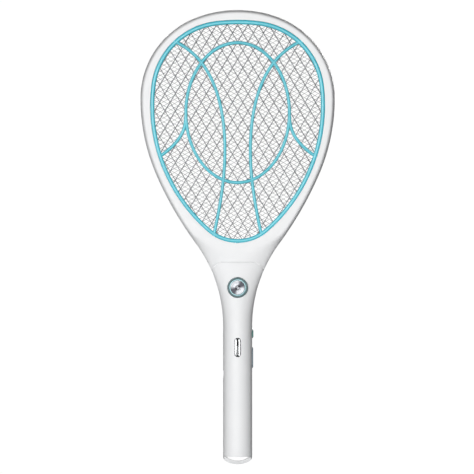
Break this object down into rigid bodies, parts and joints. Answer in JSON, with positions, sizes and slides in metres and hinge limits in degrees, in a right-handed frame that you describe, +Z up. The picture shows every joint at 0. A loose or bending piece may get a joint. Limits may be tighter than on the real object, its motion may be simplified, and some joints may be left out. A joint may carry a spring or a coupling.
{
  "type": "electric fly swatter",
  "caption": "Rechargeable racket-shaped fly swatter: layered wire meshes in a teardrop frame with a ribbed cyan guard, on a round white handle with push buttons, slide switch and hanging loop.",
  "frame": {"origin": "lowest point of the loop at the handle's end, on the handle's axis and on the plane where the front and rear shells meet", "axes": "+Z up along the handle to the head, -Y out of the front face with the round button, +X to the side with the light button and trigger bar"},
  "size_m": [0.2138, 0.0337, 0.5],
  "materials": {
    "white_plastic": "satin moulded ABS",
    "cyan_plastic": "satin moulded ABS",
    "guard_wire": "galvanised wire",
    "fine_wire": "bright fine wire",
    "white_spacer": "moulded",
    "tinned_steel": "tinned sheet",
    "lead_red": "insulated lead",
    "lead_black": "insulated lead",
    "screw_steel": "zinc plated",
    "light_ring": "translucent light guide",
    "button_white": "glossy",
    "spun_metal": "spun",
    "switch_black": "moulded",
    "stem_white": "moulded",
    "bezel_chrome": "bright",
    "knob_grey": "ribbed",
    "clear_green": "translucent",
    "clear_blue": "translucent",
    "board_green": "solder mask",
    "ferrite": "sintered ferrite",
    "copper_winding": "enamelled copper under tape",
    "film_brown": "dipped epoxy",
    "can_blue": "sleeved can",
    "resistor_tan": "lacquer",
    "led_white": "lens",
    "cell_blue": "shrink sleeve",
    "nickel": "nickel strip",
    "foam_grey": "closed-cell foam"
  },
  "bodies": {
    "swatter_body": {"head_frame_front": "white_plastic", "head_frame_rear": "white_plastic", "front_grille": "cyan_plastic", "rear_grille": "cyan_plastic", "front_mesh": "guard_wire", "center_mesh": "fine_wire", "rear_mesh": "guard_wire", "front_spacer": "white_spacer", "rear_spacer": "white_spacer", "mesh_terminals": "tinned_steel", "hv_wires": "lead_red", "head_screws": "screw_steel", "neck_screws": "screw_steel", "handle_front_shell": "white_plastic", "handle_rear_shell": "white_plastic", "handle_screws": "screw_steel", "end_cap": "white_plastic", "button_ring": "light_ring", "zap_switch": "switch_black", "mode_switch_bezel": "bezel_chrome", "mode_switch_body": "tinned_steel", "light_switch": "switch_black", "trigger_switch": "switch_black", "main_board": "board_green", "board_screws": "screw_steel", "transformer_core": "ferrite", "transformer_winding": "copper_winding", "hv_capacitor": "film_brown", "filter_capacitors": "can_blue", "diodes": "switch_black", "resistors": "resistor_tan", "transistor": "switch_black", "indicator_leds": "led_white", "charging_port": "tinned_steel", "charging_port_tongue": "switch_black", "battery_cell": "cell_blue", "battery_tabs": "nickel", "battery_wires": "lead_black", "battery_pads": "foam_grey"},
    "zap_button": {"zap_button_plunger": "button_white", "zap_button_cap": "spun_metal", "zap_switch_stem": "stem_white"},
    "mode_knob": {"mode_switch_knob": "knob_grey"},
    "light_push": {"light_button": "clear_green", "light_switch_stem": "stem_white"},
    "trigger": {"trigger_bar": "clear_blue", "trigger_switch_stem": "stem_white"}
  },
  "joints": [
    {"name": "zap_press", "type": "slide", "parent": "swatter_body", "child": "zap_button", "axis": [0, 1, 0], "range_m": [0, 0.0008], "stiffness_N_per_m": 1500, "springref_m": -0.0006},
    {"name": "mode_slide", "type": "slide", "parent": "swatter_body", "child": "mode_knob", "axis": [0, 0, 1], "range_m": [0, 0.006]},
    {"name": "light_press", "type": "slide", "parent": "swatter_body", "child": "light_push", "axis": [-1, 0, 0], "range_m": [0, 0.0008], "stiffness_N_per_m": 1500, "springref_m": -0.0006},
    {"name": "trigger_press", "type": "slide", "parent": "swatter_body", "child": "trigger", "axis": [-1, 0, 0], "range_m": [0, 0.0009], "stiffness_N_per_m": 1500, "springref_m": -0.0006}
  ]
}
